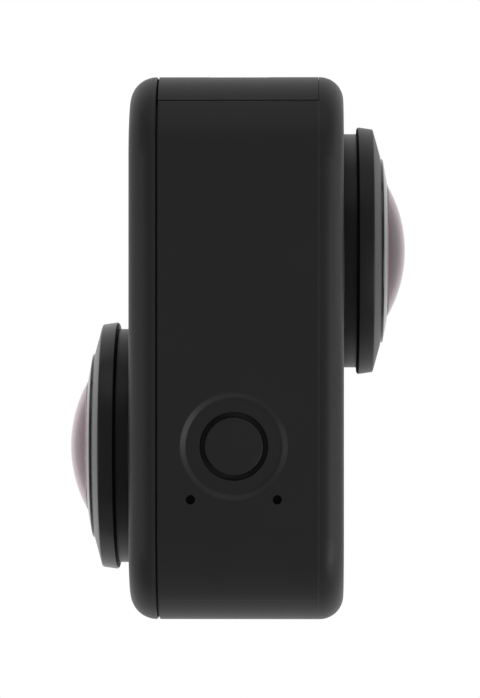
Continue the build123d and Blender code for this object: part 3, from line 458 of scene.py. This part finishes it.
barrel = {"back": -5.2, "backBore": 4.7, "radius": 9.85, "flange": 12.6, "flangeBack": 14.3,
          "flangeFront": 15.3, "front": 16.2, "bore": 7.3, "boreEnd": 9.5, "middleBore": 6.0,
          "middleEnd": 2.0, "narrowBore": 4.9, "narrowEnd": -2.8, "sharp": 25, "steps": 128}
lightTraps = {"count": 5, "front": 15.9, "pitch": 0.42, "crest": 6.98, "crestDrop": 0.2, "footDrop": 0.24,
              "edge": 0.03}


def makeBarrel(side):
    b, t = barrel, lightTraps
    outline = [(b["backBore"], b["back"], 0), (b["radius"], b["back"], 0), (b["radius"], b["flangeBack"], 0),
               (b["flange"], b["flangeBack"], 0), (b["flange"], b["flangeFront"], 0),
               (b["radius"], b["flangeFront"], 0), (b["radius"], b["front"], 0), (b["bore"], b["front"], 0)]
    for number in range(t["count"]):  # fine ridges that keep stray light out of the mouth
        height = t["front"] - number * t["pitch"]
        outline += [(b["bore"], height, 0), (t["crest"], height - t["crestDrop"], t["edge"]),
                    (b["bore"], height - t["footDrop"], 0)]
    outline += [(b["bore"], b["boreEnd"], 0), (b["middleBore"], b["boreEnd"], 0),
                (b["middleBore"], b["middleEnd"], 0), (b["narrowBore"], b["middleEnd"], 0),
                (b["narrowBore"], b["narrowEnd"], 0), (b["backBore"], b["narrowEnd"], 0)]
    makeLensPiece(side, "lens_barrel", outline, "barrel_black", b["sharp"], b["steps"])


secondLens = {"radius": 7.25, "seat": 9.5, "rim": 11.3, "rise": 2.4, "hollow": 5.6, "hollowRise": 2.7,
              "sharp": 60, "steps": 96}


def makeSecondLens(side):
    s = secondLens
    outer = capPoints(s["radius"], s["rim"], s["rise"])
    hollow = capPoints(s["hollow"], s["seat"], s["hollowRise"])
    outline = [(s["radius"], s["seat"], 0)] + outer + hollow[::-1]
    makeLensPiece(side, "second_lens", outline, "lens_glass", s["sharp"], s["steps"])


for side in ("front", "rear"):
    makeNeck(side)
    makeRing(side)
    makeBezel(side)
    makeDome(side)
    makeBarrel(side)
    makeSecondLens(side)
print("lenses made")

shutter = {"x": dishRimHighlight["x"], "y": dishRimHighlight["y"], "top": 68.7, "radius": 3.35, "edge": 0.12, "dip": 0.04,
           "dipShare": 0.4, "dipReach": 0.7, "flange": 4.5, "flangeTop": 67.15, "flangeFoot": 66.3,
           "pin": 1.0, "pinFoot": 65.95, "steps": 128}


# the shutter's cap, very slightly dished, on its flange and the pin that meets the switch
def makeShutter():
    s = shutter
    middleTop = s["top"] - s["dip"]
    outline = [(0, middleTop, 0), (s["radius"] * s["dipReach"], s["top"] - s["dip"] * s["dipShare"], 0),
               (s["radius"], s["top"], s["edge"]), (s["radius"], s["flangeTop"], 0),
               (s["flange"], s["flangeTop"], 0), (s["flange"], s["flangeFoot"], 0),
               (s["pin"], s["flangeFoot"], 0), (s["pin"], s["pinFoot"], 0), (0, s["pinFoot"], 0)]
    bm = spinOutline(outline, s["steps"])
    bm.transform(Matrix.Translation((s["x"] * mm, s["y"] * mm, 0)))
    finishPiece("shutter_cap_shown", bm, "shutter_button", "soft_touch_black", ["shutter_button"])


makeShutter()

# woven gauze behind the two microphone holes
gauze = {"x": -17.5, "y": (-4.87, 5.17), "radius": 0.5, "top": 68.55, "thick": 0.06, "steps": 32}


def makeGauze():
    g = gauze
    foot = g["top"] - g["thick"]
    for number, y in enumerate(g["y"]):
        outline = [(0, g["top"], 0), (g["radius"], g["top"], 0), (g["radius"], foot, 0), (0, foot, 0)]
        bm = spinOutline(outline, g["steps"])
        bm.transform(Matrix.Translation((g["x"] * mm, y * mm, 0)))
        finishPiece(f"microphone_gauze_{number}", bm, "casing", "part_black", [], finishName="gauze_black")


makeGauze()
print("controls made")

# the latch's spring, an evenly wound coil that rides with the side door
spring = {"x": 29.825, "y": -0.33, "low": 52.905, "length": 3.585, "radius": 0.55, "wire": 0.24, "turns": 6,
          "sides": 10, "stepsPerTurn": 24, "travel": 1.6, "sharp": 50}


def makeLatchSpring():
    s = spring
    steps = s["turns"] * s["stepsPerTurn"]
    rise = (s["length"] - s["wire"]) / steps * mm
    wire = s["wire"] / 2 * mm
    foot = (s["x"] * mm, s["y"] * mm, s["low"] * mm)
    bm = bmesh.new()
    bmesh.ops.create_circle(bm, cap_ends=False, segments=s["sides"], radius=wire)
    bm.transform(Matrix.Translation((s["radius"] * mm, 0, wire)) @ Matrix.Rotation(pi / 2, 4, "X"))
    bmesh.ops.spin(bm, geom=list(bm.verts) + list(bm.edges), cent=(0, 0, 0), axis=(0, 0, 1),
                   dvec=(0, 0, rise), angle=2 * pi * s["turns"], steps=steps, use_merge=False)
    bmesh.ops.holes_fill(bm, edges=[edge for edge in bm.edges if edge.is_boundary], sides=0)
    bm.transform(Matrix.Translation(foot))
    coil = finishPiece("latch_spring_shown", bm, "side_door", "steel", ["latch_spring"], s["sharp"])
    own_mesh(coil)


makeLatchSpring()
print("spring made")

screen = {"width": 46.0, "height": 23.6, "middle": 20.6, "corner": 2.5, "cornerSteps": 12, "face": 12.56,
          "thick": 0.8, "edge": 0.28, "edgeSteps": 5}


# the touch screen's glass, with round corners and a softened front edge
def makeScreenGlass():
    s = screen
    bm = bmesh.new()
    w, h = s["width"] / 2 * mm, s["height"] / 2 * mm
    middle, back, face = s["middle"] * mm, (s["face"] - s["thick"]) * mm, s["face"] * mm
    bm.faces.new([bm.verts.new((x, back, middle + z)) for x, z in ((-w, -h), (w, -h), (w, h), (-w, h))])
    bmesh.ops.bevel(bm, geom=list(bm.verts), offset=s["corner"] * mm, offset_type="OFFSET",
                    segments=s["cornerSteps"], profile=0.5, affect="VERTICES", material=-1)
    raised = bmesh.ops.extrude_face_region(bm, geom=list(bm.faces))["geom"]
    front = [vert for vert in raised if isinstance(vert, bmesh.types.BMVert)]
    bmesh.ops.translate(bm, vec=(0, face - back, 0), verts=front)
    rim = [edge for edge in bm.edges if all(vert in front for vert in edge.verts)]
    bmesh.ops.bevel(bm, geom=rim, offset=s["edge"] * mm, offset_type="OFFSET", segments=s["edgeSteps"],
                    profile=0.5, affect="EDGES", material=-1)
    finishPiece("touch_glass_shown", bm, "casing", "screen_glass", ["touch_glass"])


makeScreenGlass()
print("screen made")

# halfWidth and drop are in metres
stageLook = {"halfWidth": 2.0, "drop": 0.00002, "floor": 0.80, "glow": 1.0, "world": 0.34, "backdrop": 1.0}


# the first shader where the mask is 0, the second where it is 1
def addShaderMix(tree, mask, first, second):
    mix = tree.nodes.new("ShaderNodeMixShader")
    tree.links.new(mask, mix.inputs["Fac"])
    tree.links.new(first.outputs[0], mix.inputs[1])
    tree.links.new(second.outputs[0], mix.inputs[2])
    return mix


# a floor that is plain white where it is looked at, and lets the foot be seen from below
def makeFloor():
    bm = bmesh.new()
    bmesh.ops.create_grid(bm, x_segments=1, y_segments=1, size=stageLook["halfWidth"])
    mesh = bpy.data.meshes.new("floor")
    bm.to_mesh(mesh)
    bm.free()
    floor = bpy.data.objects.new("floor", mesh)
    bpy.context.scene.collection.objects.link(floor)
    floor.location = (0, 0, -stageLook["drop"])
    material = bpy.data.materials.new("floor_pale")
    material.use_nodes = True
    tree = material.node_tree
    tree.nodes.clear()
    matt = tree.nodes.new("ShaderNodeBsdfDiffuse")
    matt.inputs["Color"].default_value = (stageLook["floor"],) * 3 + (1,)
    glow = tree.nodes.new("ShaderNodeEmission")
    glow.inputs["Strength"].default_value = stageLook["glow"]
    rays = tree.nodes.new("ShaderNodeLightPath").outputs
    looked = addMath(tree, "MAXIMUM", rays["Is Camera Ray"], rays["Is Glossy Ray"])
    looked = addMath(tree, "MAXIMUM", looked, rays["Is Transmission Ray"])
    lit = addShaderMix(tree, looked, matt, glow)
    below = tree.nodes.new("ShaderNodeNewGeometry").outputs["Backfacing"]
    either = addShaderMix(tree, below, lit, tree.nodes.new("ShaderNodeBsdfTransparent"))
    out = tree.nodes.new("ShaderNodeOutputMaterial")
    tree.links.new(either.outputs["Shader"], out.inputs["Surface"])
    mesh.materials.append(material)


# soft light from all round, and plain white where the camera looks past the floor
def makeWorld():
    world = bpy.data.worlds.new("studio")
    bpy.context.scene.world = world
    world.use_nodes = True
    tree = world.node_tree
    tree.nodes.clear()
    skies = []
    for strength in (stageLook["world"], stageLook["backdrop"]):
        sky = tree.nodes.new("ShaderNodeBackground")
        sky.inputs["Color"].default_value = (1, 1, 1, 1)
        sky.inputs["Strength"].default_value = strength
        skies.append(sky)
    rays = tree.nodes.new("ShaderNodeLightPath").outputs
    mix = addShaderMix(tree, rays["Is Camera Ray"], *skies)
    out = tree.nodes.new("ShaderNodeOutputWorld")
    tree.links.new(mix.outputs["Shader"], out.inputs["Surface"])


# soft boxes, in metres and watts, each aimed at the middle of the camera
softBoxes = {
    "rear_box": dict(place=(0.0, 0.80, 0.06), size=(0.9, 0.35), watts=1.1),
    "front_box": dict(place=(0.0, -0.80, 0.06), size=(0.9, 0.35), watts=1.8),
    "door_box": dict(place=(0.66, 0.00, 0.38), size=(0.7, 0.45), watts=0.6),
    "mode_box": dict(place=(-0.70, 0.00, 0.30), size=(0.7, 0.40), watts=0.2),
    "key_box": dict(place=(-0.26, -0.62, 0.46), size=(0.50, 0.30), watts=2.5),
    "fill_box": dict(place=(-0.06, 0.66, 0.46), size=(0.50, 0.30), watts=0.8),
}
aimPoint = (0, 0, 0.045)


def makeLights():
    for name, box in softBoxes.items():
        light = bpy.data.lights.new(name, "AREA")
        light.shape = "RECTANGLE"
        light.size, light.size_y = box["size"]
        light.energy = box["watts"]
        lamp = bpy.data.objects.new(name, light)
        lamp.location = box["place"]
        aim = Vector(aimPoint) - Vector(box["place"])
        lamp.rotation_mode = "QUATERNION"
        lamp.rotation_quaternion = aim.to_track_quat("-Z", "Y")
        lamp.visible_camera = False
        bpy.context.scene.collection.objects.link(lamp)


# straight above, a touch to the front side, with the door side up in the picture
cameraLook = {"x": -0.1, "y": -7.13, "z": 487.0, "yaw": 0.90, "lens": 186.8, "sensor": 36, "near": 10,
              "far": 20000}


def makeCamera():
    c = cameraLook
    data = bpy.data.cameras.new("camera")
    data.lens = c["lens"]
    data.sensor_width = c["sensor"]
    data.clip_start = c["near"] * mm
    data.clip_end = c["far"] * mm
    camera = bpy.data.objects.new("camera", data)
    yaw = radians(c["yaw"])
    ahead = Vector((0, sin(yaw), -cos(yaw)))
    up = Vector((1, 0, 0))
    turn = Matrix((ahead.cross(up), up, -ahead)).transposed().to_4x4()
    camera.matrix_world = Matrix.Translation((c["x"] * mm, c["y"] * mm, c["z"] * mm)) @ turn
    bpy.context.scene.collection.objects.link(camera)
    bpy.context.scene.camera = camera


makeFloor()
makeWorld()
makeLights()
makeCamera()
bpy.context.scene.view_settings.view_transform = "Standard"
print("stage made")
